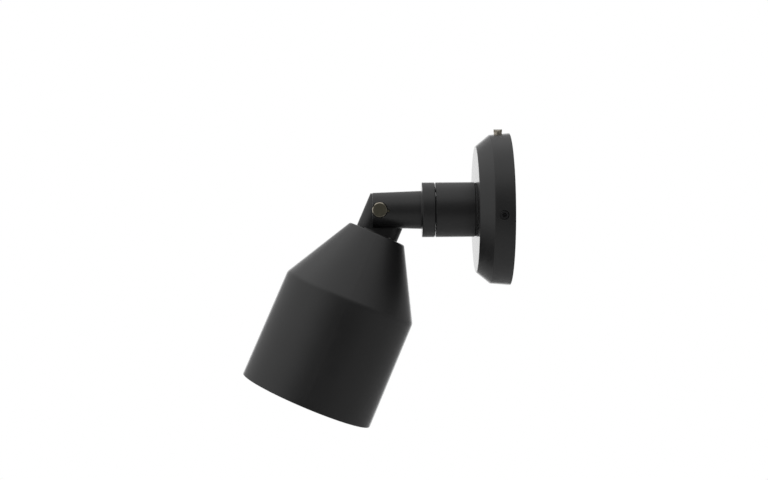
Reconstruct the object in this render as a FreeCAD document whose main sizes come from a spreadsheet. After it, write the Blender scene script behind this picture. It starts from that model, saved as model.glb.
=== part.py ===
import FreeCAD, Part
import os
import re
import math
import Sketcher

# Pivoting spotlight wall light, in millimetres.
# Row frame: the origin is the centre of the rose's back rim on the wall, the wall lies in the
# plane y = 0 and the light stands out along -Y, +Z is up.
# Swivel frame: turned about the stem's axis (Y). Lamp frame: origin on the tilt pin, X along the
# pin, the shade's mouth towards -Z, the wall towards +Y when the lamp hangs straight down.

DIMENSIONS = {
    # wall rose
    "rose_radius": 55.4,
    "rose_shoulder_radius": 54.2,
    "rose_face_radius": 46.0,
    "rose_rim_depth": 14.4,
    "rose_depth": 24.4,
    "rose_wall": 2.0,
    "rose_edge_round": 1.2,
    # screws through the rose's rim
    "rim_screw_reach": 8.0,
    "rim_screw_radius": 3.2,
    "rim_screw_length": 9.0,
    "rim_screw_sink": 0.15,
    "rim_socket_radius": 1.5,
    "rim_socket_depth": 2.2,
    "top_screw_radius": 2.9,
    "top_screw_stand": 2.7,
    "top_screw_length": 9.5,
    "top_screw_slot": 0.9,
    "screw_fit": 0.1,
    # wall plate
    "plate_radius": 47.0,
    "plate_thick": 2.0,
    "plate_hole_radius": 9.0,
    "slot_spacing": 66.0,
    "slot_half_width": 2.5,
    "slot_length": 12.0,
    "lug_width": 14.0,
    "lug_thick": 3.0,
    "lug_height": 12.5,
    "lug_gap": 0.5,
    # fixed stem
    "stem_radius": 20.0,
    "stem_bore_radius": 16.0,
    "stem_thread_radius": 17.6,
    "stem_end": 53.8,
    "stem_web": 5.0,
    "stem_chamfer": 0.5,
    "gasket_thick": 0.7,
    "gasket_inset": 0.5,
    "ring_nut_thick": 4.0,
    "ring_nut_radius": 23.0,
    "ring_nut_slot": 4.0,
    "lock_washer_thick": 1.0,
    "thread_stand": 0.8,
    # swivel
    "joint_gap": 0.4,
    "running_fit": 0.06,
    "rub_gap": 0.1,
    "collar_width": 9.4,
    "spigot_radius": 9.9,
    "wire_bore_radius": 4.5,
    "stop_pin_radius": 1.5,
    "stop_pin_reach": 14.5,
    "stop_pin_length": 6.0,
    "stop_pin_stand": 2.0,
    "stop_play": 0.3,
    "swivel_travel": 165.0,
    "swivel_washer_thick": 1.0,
    "swivel_washer_radius": 15.2,
    "disc_spring_thick": 0.6,
    "disc_spring_rise": 0.9,
    "swivel_nut_thick": 4.5,
    "swivel_nut_flats": 27.0,
    "spigot_stand": 1.0,
    # arm, half cut away at its end so that the neck's tongue laps it
    "arm_root_radius": 13.93,
    "arm_end_radius": 12.75,
    "arm_root_round": 0.8,
    "pivot_reach": 94.2,
    "ear_past_pin": 5.3,
    "ear_edge_round": 0.6,
    # tilt joint
    "lap_face": 0.5,
    "lap_clearance": 0.7,
    "tongue_thick": 11.4,
    "tilt_washer_thick": 0.8,
    "tilt_washer_radius": 4.6,
    "tongue_tip_radius": 12.3,
    "tongue_left": 11.15,
    "tongue_corner": 9.05,
    "tongue_heel": 7.0,
    "tongue_heel_round": 8.6,
    "tongue_near_round": 8.4,
    "tongue_far_round": 2.6,
    "pin_radius": 3.0,
    "pin_head_radius": 5.4,
    "pin_head_thick": 2.0,
    "pin_head_face": 12.2,
    "pin_head_chamfer": 0.35,
    "pin_key_radius": 0.8,
    "pin_key_reach": 6.35,
    "pin_key_play": 0.35,
    "head_play": 0.4,
    "pin_tail": 0.3,
    "thread_fit": 0.03,
    "nut_seat_radius": 6.0,
    "tilt_nut_thick": 3.0,
    "tilt_nut_flats": 9.6,
    "tilt_spring_washer": 0.9,
    # lamp head
    "pivot_offset": 5.0,
    "neck_radius": 15.8,
    "neck_foot": 0.8,
    "neck_foot_radius": 10.4,
    "plate_drop": 16.45,
    "shade_top_radius": 21.4,
    "shade_top_round": 2.2,
    "cone_drop": 66.9,
    "cone_radius": 49.46,
    "cone_round": 6.0,
    "rim_drop": 148.15,
    "rim_radius": 50.1,
    "shade_wall": 1.8,
    "neck_thread_radius": 8.0,
    "neck_thread_length": 13.5,
    "lead_way_radius": 2.0,
    "lead_way_side": 4.2,
    "lead_way_offset": 1.6,
    "lead_chamber": 5.0,
    "shade_washer_radius": 14.0,
    "shade_washer_thick": 1.5,
    "shade_nut_flats": 24.0,
    "shade_nut_thick": 6.0,
    # lampholder and reflector lamp
    "nipple_radius": 5.0,
    "nipple_bore_radius": 3.8,
    "nipple_length": 16.0,
    "nipple_seat": 7.5,
    "holder_cap_radius": 18.5,
    "holder_cap_length": 18.0,
    "holder_wall": 2.0,
    "holder_radius": 20.0,
    "holder_length": 34.0,
    "insert_thick": 9.0,
    "shell_wall": 0.5,
    "shell_length": 19.0,
    "lamp_cap_radius": 13.05,
    "lamp_cap_length": 25.0,
    "lamp_cap_gap": 0.25,
    "lamp_tip_radius": 4.5,
    "lamp_tip_length": 2.0,
    "lamp_neck_radius": 14.0,
    "lamp_head_radius": 31.5,
    "lamp_flare_length": 40.0,
    "lamp_band_length": 8.0,
    "lamp_lens_rise": 6.0,
    "lamp_shell": 1.2,
    # wiring
    "lead_radius": 1.0,
    "lead_side": 2.2,
    "lead_spread": 1.3,
    "lead_bend": 3.5,
    "lamp_lead_radius": 0.85,
    "lamp_lead_spread": 0.95,
    "lamp_lead_side": 0.6,
    "lead_reach": 9.0,
    "lead_gap": 0.4,
    "block_width": 32.0,
    "block_height": 16.0,
    "block_depth": 13.0,
    "block_drop": 33.0,
    "block_pitch": 10.0,
    "block_screw_radius": 1.8,
    "block_screw_depth": 3.0,
    "earth_screw_radius": 3.2,
    "earth_screw_head": 2.4,
    "earth_washer": 0.8,
    "earth_side": 27.0,
    "earth_drop": 14.0,
    # pose that is modelled: lamp leans out from straight down, head turned a little
    "rest_tilt": 23.55,
    "rest_swivel": 5.2,
}

# Where the pieces meet, worked out from the driving dimensions, in the order they are used.
DERIVED = {
    "stem_start": "rose_depth + gasket_thick",
    "thread_end": "rose_depth - rose_wall - lock_washer_thick - ring_nut_thick - thread_stand",
    "collar_start": "stem_end + joint_gap",
    "collar_end": "collar_start + collar_width",
    "web_inside": "stem_end - stem_web",
    "washer_far": "web_inside - rub_gap",
    "washer_near": "washer_far - swivel_washer_thick",
    "spring_near": "washer_near - disc_spring_rise - disc_spring_thick",
    "swivel_nut_near": "spring_near - swivel_nut_thick",
    "spigot_end": "swivel_nut_near - spigot_stand",
    "tongue_near": "lap_face + rub_gap + tilt_washer_thick",
    "tongue_far": "tongue_near + tongue_thick",
    "nut_seat": "tongue_far - rub_gap * 2 - tilt_spring_washer - tilt_nut_thick - pin_tail",
    "nut_face": "nut_seat + rub_gap + tilt_spring_washer",
    "pin_end": "nut_face + tilt_nut_thick + pin_tail",
    "neck_right": "pivot_offset + neck_radius",
    "tongue_sweep": "sqrt(neck_right ^ 2 + tongue_heel ^ 2)",
    "lap_shoulder": "pivot_reach - tongue_sweep - lap_clearance",
    "ear_end": "pivot_reach + ear_past_pin",
    "head_seat": "pin_head_face - pin_head_thick",
    "neck_end": "plate_drop + neck_thread_length",
    "rim_surface": "rose_radius - (rose_radius - rose_shoulder_radius) * rim_screw_reach / rose_rim_depth",
    "washer_drop": "plate_drop + shade_wall",
    "nut_drop": "washer_drop + shade_washer_thick",
    "nipple_top": "neck_end - nipple_seat",
    "cap_top": "neck_end + 0.3",
    "cap_bottom": "cap_top + holder_cap_length",
    "insert_bottom": "cap_bottom + insert_thick",
    "holder_bottom": "cap_bottom + holder_length",
    "tip_drop": "insert_bottom + 0.8",
    "lamp_cap_top": "tip_drop + lamp_tip_length",
    "lamp_cap_bottom": "lamp_cap_top + lamp_cap_length",
    "flare_bottom": "lamp_cap_bottom + lamp_flare_length",
    "lens_edge": "flare_bottom + lamp_band_length",
    "lens_back": "lens_edge - lamp_shell",
    "flare_waist": "lamp_cap_bottom + lamp_flare_length * 0.3",
    "flare_shoulder": "flare_bottom - lamp_flare_length * 0.18",
}

SHEET = "Dims"
NAMES = sorted(list(DIMENSIONS) + list(DERIVED), key=len, reverse=True)
NAME_PATTERN = re.compile(r"\b(" + "|".join(NAMES) + r")\b")

doc = FreeCAD.newDocument("spotlight")
pieces = []


def fill_sheet():
    sheet = doc.addObject("Spreadsheet::Sheet", SHEET)
    rows = list(DIMENSIONS.items()) + [(name, "=" + rule) for name, rule in DERIVED.items()]
    for row, (name, value) in enumerate(rows, start=1):
        sheet.set("A%d" % row, name)
        sheet.set("B%d" % row, str(value))
        sheet.setAlias("B%d" % row, name)
    doc.recompute()
    return sheet


dims = fill_sheet()


def size(name):
    """A number from the sheet, for selecting edges and for the wires' routes."""
    return float(getattr(dims, name))


def rule(text):
    """An expression on the sheet's cells, from one written with their plain names."""
    return NAME_PATTERN.sub(lambda found: SHEET + "." + found.group(1), str(text))


def number(text):
    """The value now of an expression written with plain names."""
    return float(dims.evalExpression(rule(text)))


# ---------------------------------------------------------------- sketches and features


def new_body(label):
    body = doc.addObject("PartDesign::Body", label)
    body.Label = label
    pieces.append(body)
    return body


def plane_of(body, role):
    return next(feature for feature in body.Origin.OriginFeatures if feature.Role == role)


def new_sketch(body, role, name, offset=None):
    """A sketch on one of the body's own planes, moved along the plane's normal by a rule."""
    sketch = body.newObject("Sketcher::SketchObject", body.Label + "_" + name)
    sketch.AttachmentSupport = [(plane_of(body, role), "")]
    sketch.MapMode = "FlatFace"
    if offset is not None:
        sketch.setExpression("AttachmentOffset.Base.z", rule(offset))
    return sketch


def bind(sketch, constraint, text):
    index = sketch.addConstraint(constraint)
    sketch.setExpression("Constraints[%d]" % index, rule(text))


def place_point(sketch, geometry, end, across, up):
    """Ties a point of the sketch to its two coordinates, each a rule or 0."""
    for axis, kind, text in ((-2, "DistanceX", across), (-1, "DistanceY", up)):
        if text == 0:
            sketch.addConstraint(Sketcher.Constraint("PointOnObject", geometry, end, axis))
        else:
            value = number(text)
            bind(sketch, Sketcher.Constraint(kind, -1, 1, geometry, end, value), text)


def draw_polygon(sketch, corners):
    """A closed outline of straight lines through corners, each a pair of rules."""
    spots = [FreeCAD.Vector(number(across), number(up), 0) for across, up in corners]
    count = len(spots)
    first = sketch.GeometryCount
    for index in range(count):
        line = Part.LineSegment(spots[index], spots[(index + 1) % count])
        sketch.addGeometry(line, False)
    for index in range(count):
        following = first + (index + 1) % count
        sketch.addConstraint(Sketcher.Constraint("Coincident", first + index, 2, following, 1))
    for index, (across, up) in enumerate(corners):
        place_point(sketch, first + index, 1, across, up)


def draw_circle(sketch, across, up, radius):
    centre = FreeCAD.Vector(number(across), number(up), 0)
    index = sketch.addGeometry(Part.Circle(centre, FreeCAD.Vector(0, 0, 1), number(radius)), False)
    if across == 0 and up == 0:
        sketch.addConstraint(Sketcher.Constraint("Coincident", index, 3, -1, 1))
    else:
        place_point(sketch, index, 3, across, up)
    bind(sketch, Sketcher.Constraint("Radius", index, number(radius)), radius)


def hexagon(flats):
    """Corners of a nut with the given width across its flats, as rules."""
    reach = "(%s) / sqrt(3)" % flats
    turns = [math.radians(60 * corner + 30) for corner in range(6)]
    return [("%s * %.9f" % (reach, math.cos(t)), "%s * %.9f" % (reach, math.sin(t))) for t in turns]


def revolve(body, sketch, kind="PartDesign::Revolution", angle=360, axis="V_Axis"):
    feature = body.newObject(kind, sketch.Name + "_turned")
    feature.Profile = sketch
    feature.ReferenceAxis = (sketch, [axis])
    feature.Angle = 360
    if angle != 360:
        feature.setExpression("Angle", rule(angle))
    sketch.Visibility = False
    return feature


def extrude(body, sketch, length, kind="PartDesign::Pad", middle=False, back=False):
    feature = body.newObject(kind, sketch.Name + "_" + kind.split("::")[1].lower())
    feature.Profile = sketch
    feature.setExpression("Length", rule(length))
    feature.Midplane = middle
    feature.Reversed = back
    return feature


def cut_through(body, sketch, length, middle=True, back=False):
    """A pocket that has to take something away."""
    doc.recompute()
    before = body.Shape.Volume
    feature = extrude(body, sketch, length, "PartDesign::Pocket", middle, back)
    doc.recompute()
    if not body.Shape.Volume < before - 1e-6:
        raise RuntimeError(sketch.Name + " cuts nothing")
    return feature


def edges_where(feature, wanted):
    return ["Edge%d" % (n + 1) for n, edge in enumerate(feature.Shape.Edges) if wanted(edge)]


def soften(body, wanted, radius, kind="PartDesign::Fillet"):
    """Rounds or bevels the edges of the body that the test picks out."""
    doc.recompute()
    base = body.Tip
    chosen = edges_where(base, wanted)
    if not chosen:
        raise RuntimeError(body.Label + " has no edge to soften")
    feature = body.newObject(kind, body.Label + "_soft%d" % len(body.Group))
    feature.Base = (base, chosen)
    feature.setExpression("Radius" if kind.endswith("Fillet") else "Size", rule(radius))
    return feature


def is_ring(edge, radius, height, axis="y"):
    """A whole circle of this radius at this height along the axis of the piece."""
    if edge.Curve.TypeId != "Part::GeomCircle" or not edge.isClosed():
        return False
    return abs(edge.Curve.Radius - radius) < 0.01 and abs(getattr(edge.Curve.Center, axis) - height) < 0.01


# ---------------------------------------------------------------- frames


SWIVEL_FRAME = "placement(vector(0; 0; 0); rotation(vector(0; 1; 0); -rest_swivel))"
TILT_FRAME = "placement(vector(0; -pivot_reach; 0); rotation(vector(1; 0; 0); -rest_tilt))"
LAMP_AXIS = "placement(vector(0; pivot_offset; 0); rotation(vector(0; 0; 1); 0))"
AT_PIN = "placement(vector(0; -pivot_reach; 0); rotation(vector(0; 0; 1); 0))"
PIN_ALONG_X = "placement(vector(0; -pivot_reach; 0); rotation(vector(0; 1; 0); 90))"


def in_swivel_frame(piece):
    piece.setExpression("Placement", rule(SWIVEL_FRAME))
    return piece


def in_tilt_frame(piece):
    piece.setExpression("Placement", rule(SWIVEL_FRAME + " * " + TILT_FRAME))
    return piece


def in_lamp_frame(piece):
    piece.setExpression("Placement", rule(SWIVEL_FRAME + " * " + TILT_FRAME + " * " + LAMP_AXIS))
    return piece


def turned(label, corners, role="XY_Plane"):
    """A piece turned about the vertical axis of its sketch."""
    body = new_body(label)
    sketch = new_sketch(body, role, "section")
    draw_polygon(sketch, corners)
    revolve(body, sketch)
    return body


def washer(label, inner, outer, near, far, role="XY_Plane"):
    return turned(label, [(inner, near), (outer, near), (outer, far), (inner, far)], role)


def hex_nut(label, flats, bore, role, start, thick):
    """A hexagon nut, extruded along its plane's normal from start."""
    body = new_body(label)
    outline = new_sketch(body, role, "outline", start)
    draw_polygon(outline, hexagon(flats))
    draw_circle(outline, 0, 0, bore)
    extrude(body, outline, thick)
    return body


# ---------------------------------------------------------------- fixed to the wall


def make_rose():
    """The round wall rose: a deep drawn cup with a bevelled shoulder, open at the wall."""
    slope = "(rose_shoulder_radius - rose_face_radius) / (rose_depth - rose_rim_depth)"
    body = turned(
        "wall_rose",
        [
            ("stem_thread_radius + screw_fit", "-rose_depth"),
            ("rose_face_radius", "-rose_depth"),
            ("rose_shoulder_radius", "-rose_rim_depth"),
            ("rose_radius", 0),
            ("rose_radius - rose_wall", 0),
            ("rose_shoulder_radius - rose_wall", "-rose_rim_depth + rose_wall * 0.3"),
            ("rose_face_radius - rose_wall * (%s) * 0.6" % slope, "-rose_depth + rose_wall"),
            ("stem_thread_radius + screw_fit", "-rose_depth + rose_wall"),
        ],
    )
    holes = new_sketch(body, "YZ_Plane", "side_holes")
    draw_circle(holes, "-rim_screw_reach", 0, "rim_screw_radius + screw_fit")
    cut_through(body, holes, "rose_radius * 2 + 2")
    top_hole = new_sketch(body, "XY_Plane", "top_hole")
    draw_circle(top_hole, 0, "-rim_screw_reach", "top_screw_radius + screw_fit")
    cut_through(body, top_hole, "rose_radius + 1", middle=False, back=True)
    shoulder, face = size("rose_shoulder_radius"), size("rose_face_radius")
    soften(
        body,
        lambda edge: is_ring(edge, shoulder, -size("rose_rim_depth"))
        or is_ring(edge, face, -size("rose_depth")),
        "rose_edge_round",
    )
    return body


def make_wall_plate():
    """Round steel plate screwed to the wall, with three lugs that take the rim screws."""
    body = turned(
        "wall_plate",
        [
            ("plate_hole_radius", 0),
            ("plate_radius", 0),
            ("plate_radius", "-plate_thick"),
            ("plate_hole_radius", "-plate_thick"),
        ],
    )
    lug_out = "rose_shoulder_radius - rose_wall - lug_gap"
    sides = new_sketch(body, "XY_Plane", "side_lugs")
    for sign in ("", "-"):
        near, far = sign + "(" + lug_out + " - lug_thick)", sign + "(" + lug_out + ")"
        foot = sign + "(plate_radius - lug_thick * 2)"
        draw_polygon(
            sides,
            [
                (foot, 0),
                (far, 0),
                (far, "-lug_height"),
                (near, "-lug_height"),
                (near, "-plate_thick"),
                (foot, "-plate_thick"),
            ],
        )
    extrude(body, sides, "lug_width", middle=True)
    top = new_sketch(body, "YZ_Plane", "top_lug")
    draw_polygon(
        top,
        [
            (0, "plate_radius - lug_thick * 2"),
            (0, lug_out),
            ("-lug_height", lug_out),
            ("-lug_height", lug_out + " - lug_thick"),
            ("-plate_thick", lug_out + " - lug_thick"),
            ("-plate_thick", "plate_radius - lug_thick * 2"),
        ],
    )
    extrude(body, top, "lug_width", middle=True)
    taps = new_sketch(body, "YZ_Plane", "side_taps")
    draw_circle(taps, "-rim_screw_reach", 0, "rim_screw_radius + screw_fit / 2")
    cut_through(body, taps, "rose_radius * 2")
    top_tap = new_sketch(body, "XY_Plane", "top_tap")
    draw_circle(top_tap, 0, "-rim_screw_reach", "top_screw_radius + screw_fit / 2")
    cut_through(body, top_tap, "rose_radius", middle=False, back=True)
    for sign in ("", "-"):
        slot = new_sketch(body, "XZ_Plane", "slot" + ("_left" if sign else "_right"))
        half = "(slot_length / 2 - slot_half_width)"
        centre = sign + "slot_spacing / 2"
        draw_slot(slot, centre + " - " + half, centre + " + " + half, "slot_half_width")
        cut_through(body, slot, "plate_thick * 3")
    tap = new_sketch(body, "XZ_Plane", "earth_tap")
    draw_circle(tap, "earth_side", "-earth_drop", "earth_screw_radius / 2")
    cut_through(body, tap, "plate_thick * 3")
    return body


def draw_slot(sketch, left, right, radius):
    """A slot along the sketch's horizontal axis, between two end centres."""
    start, end, half = number(left), number(right), number(radius)
    up = FreeCAD.Vector(0, 0, 1)
    quarter = math.pi / 2
    corners = [(start, -half), (end, -half), (end, half), (start, half)]
    spots = [FreeCAD.Vector(x, y, 0) for x, y in corners]
    low = sketch.addGeometry(Part.LineSegment(spots[0], spots[1]), False)
    circle = Part.Circle(FreeCAD.Vector(end, 0, 0), up, half)
    cap_right = sketch.addGeometry(Part.ArcOfCircle(circle, -quarter, quarter), False)
    high = sketch.addGeometry(Part.LineSegment(spots[2], spots[3]), False)
    circle = Part.Circle(FreeCAD.Vector(start, 0, 0), up, half)
    cap_left = sketch.addGeometry(Part.ArcOfCircle(circle, quarter, 3 * quarter), False)
    joins = [
        (low, 2, cap_right, 1),
        (cap_right, 2, high, 1),
        (high, 2, cap_left, 1),
        (cap_left, 2, low, 1),
    ]
    for join in joins:
        sketch.addConstraint(Sketcher.Constraint("Tangent", *join))
    place_point(sketch, cap_left, 3, left, 0)
    place_point(sketch, cap_right, 3, right, 0)
    bind(sketch, Sketcher.Constraint("Radius", cap_left, half), radius)


def make_stem():
    """The fixed stem: a tube with an end web that the swivel turns in, threaded at the rose."""
    body = turned(
        "stem",
        [
            ("stem_bore_radius", "-thread_end"),
            ("stem_thread_radius", "-thread_end"),
            ("stem_thread_radius", "-stem_start"),
            ("stem_radius - stem_chamfer", "-stem_start"),
            ("stem_radius", "-stem_start - stem_chamfer"),
            ("stem_radius", "-stem_end + stem_chamfer"),
            ("stem_radius - stem_chamfer", "-stem_end"),
            ("spigot_radius + running_fit", "-stem_end"),
            ("spigot_radius + running_fit", "-web_inside"),
            ("stem_bore_radius", "-web_inside"),
        ],
    )
    hole = new_sketch(body, "XZ_Plane", "stop_pin_hole", "stem_end")
    draw_circle(hole, 0, "stop_pin_reach", "stop_pin_radius")
    cut_through(body, hole, "stop_pin_length - stop_pin_stand", middle=False)
    return body


def make_stop_pin():
    """Dowel in the stem's end web that the swivel's groove runs against."""
    body = new_body("swivel_stop_pin")
    outline = new_sketch(body, "XZ_Plane", "outline", "stem_end - stop_pin_length + stop_pin_stand")
    draw_circle(outline, 0, "stop_pin_reach", "stop_pin_radius")
    extrude(body, outline, "stop_pin_length")
    return body


def make_ring_nut():
    """Slotted ring nut that holds the stem to the rose from inside."""
    near = "-rose_depth + rose_wall + lock_washer_thick"
    far = near + " + ring_nut_thick"
    body = washer("stem_ring_nut", "stem_thread_radius", "ring_nut_radius", near, far)
    notch = new_sketch(body, "YZ_Plane", "notches")
    low, high = "ring_nut_radius - ring_nut_slot * 0.6", "ring_nut_radius + 1"
    left, right = "-thread_end - thread_stand - 2", "-thread_end - thread_stand + 1"
    draw_polygon(notch, [(left, low), (right, low), (right, high), (left, high)])
    first = cut_through(body, notch, "ring_nut_slot")
    pattern = body.newObject("PartDesign::PolarPattern", "stem_ring_nut_notches")
    pattern.Originals = [first]
    pattern.Axis = (notch, ["H_Axis"])
    pattern.Angle = 360
    pattern.Occurrences = 4
    body.Tip = pattern
    return body


def make_rim_screw(label, side):
    """Flush socket screw through the rose's side into the wall plate's lug."""
    top = "(rim_surface - rim_screw_sink)"
    body = turned(
        label,
        [
            (0, top + " - rim_screw_length"),
            ("rim_screw_radius", top + " - rim_screw_length"),
            ("rim_screw_radius", top + " - 0.4"),
            ("rim_screw_radius - 0.4", top),
            (0, top),
        ],
        "XZ_Plane",
    )
    socket = new_sketch(body, "XY_Plane", "socket", top)
    draw_polygon(socket, hexagon("rim_socket_radius * 2"))
    cut_through(body, socket, "rim_socket_depth", middle=False)
    turn = "placement(vector(0; -rim_screw_reach; 0); rotation(vector(0; 1; 0); %d))" % (90 * side)
    body.setExpression("Placement", rule(turn))
    return body


def make_top_screw():
    """Brass slotted screw that stands out of the rose's rim at the top."""
    top = "(rim_surface + top_screw_stand)"
    body = turned(
        "top_brass_screw",
        [
            (0, top + " - top_screw_length"),
            ("top_screw_radius", top + " - top_screw_length"),
            ("top_screw_radius", top + " - 0.4"),
            ("top_screw_radius - 0.4", top),
            (0, top),
        ],
        "XZ_Plane",
    )
    slot = new_sketch(body, "XY_Plane", "driver_slot", top)
    wide, half = "top_screw_radius + 1", "top_screw_slot / 2"
    left = "-(%s)" % wide
    draw_polygon(slot, [(left, "-" + half), (wide, "-" + half), (wide, half), (left, half)])
    cut_through(body, slot, "top_screw_slot", middle=False)
    turn = "placement(vector(0; -rim_screw_reach; 0); rotation(vector(0; 0; 1); 35))"
    body.setExpression("Placement", rule(turn))
    return body


def make_terminal_block():
    """Three-pole terminal block on the wall plate, with its screws sunk in wells."""
    body = new_body("terminal_block")
    outline = new_sketch(body, "XZ_Plane", "outline", "plate_thick")
    half = "block_width / 2"
    low, high = "-block_drop - block_height / 2", "-block_drop + block_height / 2"
    draw_polygon(outline, [("-" + half, low), (half, low), (half, high), ("-" + half, high)])
    extrude(body, outline, "block_depth")
    wells = new_sketch(body, "XZ_Plane", "wells", "plate_thick + block_depth")
    across = {-1: "-block_pitch", 0: 0, 1: "block_pitch"}
    for pole in across:
        for row in (-1, 1):
            up = "-block_drop + %d * block_height / 4" % row
            draw_circle(wells, across[pole], up, "block_screw_radius + screw_fit")
    cut_through(body, wells, "block_screw_depth * 1.6", middle=False, back=False)
    ways = new_sketch(body, "XY_Plane", "lead_ways", "-block_drop + block_height / 2")
    for pole in across:
        draw_circle(ways, across[pole], "-lead_reach", "lead_radius + screw_fit")
    cut_through(body, ways, "block_height / 8", middle=False)
    return body


def make_terminal_screws():
    """The six clamping screws, one group of separate solids."""
    body = doc.addObject("Part::Feature", "terminal_screws")
    body.Label = "terminal_screws"
    radius, depth = size("block_screw_radius"), size("block_screw_depth")
    face = size("plate_thick") + size("block_depth")
    screws = []
    for pole in (-1, 0, 1):
        for row in (-1, 1):
            spot = FreeCAD.Vector(
                pole * size("block_pitch"),
                -(face - depth * 0.6),
                -size("block_drop") + row * size("block_height") / 4,
            )
            screw = Part.makeCylinder(radius, depth, spot, FreeCAD.Vector(0, 1, 0))
            wide, deep, high = radius * 2 + 1, depth * 0.3, radius * 0.5
            slot = Part.makeBox(wide, deep, high, spot - FreeCAD.Vector(wide / 2, 0.01, high / 2))
            screws.append(screw.cut(slot))
    body.Shape = Part.makeCompound(screws)
    pieces.append(body)
    return body


def make_earth_screw():
    """Brass earth screw in the wall plate, with its head over a captive washer."""
    body = turned(
        "earth_screw",
        [
            (0, "plate_thick * 0.2"),
            ("earth_screw_radius / 2", "plate_thick * 0.2"),
            ("earth_screw_radius / 2", "plate_thick"),
            ("earth_screw_radius * 1.3", "plate_thick"),
            ("earth_screw_radius * 1.3", "plate_thick + earth_washer"),
            ("earth_screw_radius", "plate_thick + earth_washer"),
            ("earth_screw_radius", "plate_thick + earth_washer + earth_screw_head"),
            (0, "plate_thick + earth_washer + earth_screw_head"),
        ],
        "XZ_Plane",
    )
    turn = "placement(vector(earth_side; 0; -earth_drop); rotation(vector(1; 0; 0); 90))"
    body.setExpression("Placement", rule(turn))
    return body


# ---------------------------------------------------------------- turns on the stem


def make_arm():
    """The swivel head: collar, tapered round arm with half its end cut away, hollow spigot."""
    body = turned(
        "swivel_arm",
        [
            ("wire_bore_radius", "-spigot_end"),
            ("spigot_radius", "-spigot_end"),
            ("spigot_radius", "-collar_start"),
            ("stem_radius - stem_chamfer", "-collar_start"),
            ("stem_radius", "-collar_start - stem_chamfer"),
            ("stem_radius", "-collar_end"),
            ("arm_root_radius", "-collar_end"),
            ("arm_end_radius", "-ear_end"),
            (0, "-ear_end"),
            (0, "-lap_shoulder"),
            ("wire_bore_radius", "-lap_shoulder"),
        ],
    )
    root, collar = size("arm_root_radius"), -size("collar_end")
    soften(body, lambda edge: is_ring(edge, root, collar), "arm_root_round")
    soften(
        body,
        lambda edge: is_ring(edge, size("stem_radius"), collar)
        or is_ring(edge, size("arm_end_radius"), -size("ear_end")),
        "ear_edge_round",
    )
    cut_lap(body)
    cut_pin_seat(body)
    cut_stop_groove(body)
    return in_swivel_frame(body)


def cut_lap(body):
    """Takes away the far half of the arm's end, back to the shoulder."""
    lap = new_sketch(body, "XY_Plane", "lap")
    draw_polygon(
        lap,
        [
            ("-arm_root_radius - 1", "-ear_end - 1"),
            ("-lap_face", "-ear_end - 1"),
            ("-lap_face", "-lap_shoulder"),
            ("-arm_root_radius - 1", "-lap_shoulder"),
        ],
    )
    cut_through(body, lap, "stem_radius * 2")


def cut_pin_seat(body):
    """Hole for the pin, with a sunk seat for its head and a notch for the head's key."""
    pin_hole = new_sketch(body, "YZ_Plane", "pin_hole")
    draw_circle(pin_hole, "-pivot_reach", 0, "pin_radius + screw_fit / 2")
    cut_through(body, pin_hole, "stem_radius * 2")
    seat = new_sketch(body, "YZ_Plane", "head_seat", "head_seat")
    draw_circle(seat, "-pivot_reach", 0, "pin_head_radius + head_play")
    cut_through(body, seat, "stem_radius", middle=False, back=True)
    key = new_sketch(body, "YZ_Plane", "key_notch", "head_seat")
    draw_circle(key, "-pivot_reach + pin_key_reach", "-pin_key_radius", "pin_key_radius + pin_key_play")
    cut_through(body, key, "stem_radius", middle=False, back=True)


def cut_stop_groove(body):
    """Curved groove in the collar's face that the stop pin travels in."""
    groove = new_sketch(body, "YZ_Plane", "stop_groove")
    inner, outer = ("stop_pin_reach %s (stop_pin_radius + stop_play)" % sign for sign in "-+")
    floor = "-collar_start - stop_pin_stand - stop_play + joint_gap"
    open_end = "-collar_start + rub_gap"
    draw_polygon(groove, [(open_end, inner), (open_end, outer), (floor, outer), (floor, inner)])
    doc.recompute()
    before = body.Shape.Volume
    pin_angle = "2 * asin((stop_pin_radius + stop_play) / stop_pin_reach) / 1 deg"
    cut = revolve(body, groove, "PartDesign::Groove", "swivel_travel * 2 + " + pin_angle, "H_Axis")
    cut.Midplane = True
    doc.recompute()
    if not body.Shape.Volume < before - 1:
        raise RuntimeError("the stop groove cuts nothing")


def make_tilt_pin():
    """Brass pivot pin: chamfered head with a small key at its edge, plain shank, thread end."""
    body = turned(
        "tilt_pin",
        [
            (0, "-pin_end"),
            ("pin_radius - 0.4", "-pin_end"),
            ("pin_radius", "-pin_end + 0.4"),
            ("pin_radius", "head_seat"),
            ("pin_head_radius", "head_seat"),
            ("pin_head_radius", "pin_head_face - pin_head_chamfer"),
            ("pin_head_radius - pin_head_chamfer", "pin_head_face"),
            (0, "pin_head_face"),
        ],
        "XZ_Plane",
    )
    key = new_sketch(body, "XY_Plane", "key", "head_seat")
    draw_circle(key, "pin_key_radius", "pin_key_reach", "pin_key_radius")
    extrude(body, key, "pin_head_thick - 0.3")
    link = new_sketch(body, "XY_Plane", "key_web", "head_seat")
    low, high = "pin_key_radius * 0.4", "pin_key_radius * 1.6"
    near = "pin_head_radius * 0.8"
    draw_polygon(link, [(low, near), (high, near), (high, "pin_key_reach"), (low, "pin_key_reach")])
    extrude(body, link, "pin_head_thick - 0.6")
    body.setExpression("Placement", rule(SWIVEL_FRAME + " * " + PIN_ALONG_X))
    return body


def make_tilt_nut():
    """Thin nut on the pin, sunk in the tongue's far face."""
    start = "-(nut_face + tilt_nut_thick)"
    bore = "pin_radius + thread_fit"
    body = hex_nut("tilt_lock_nut", "tilt_nut_flats", bore, "YZ_Plane", start, "tilt_nut_thick")
    body.setExpression("Placement", rule(SWIVEL_FRAME + " * " + AT_PIN))
    return body


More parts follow.
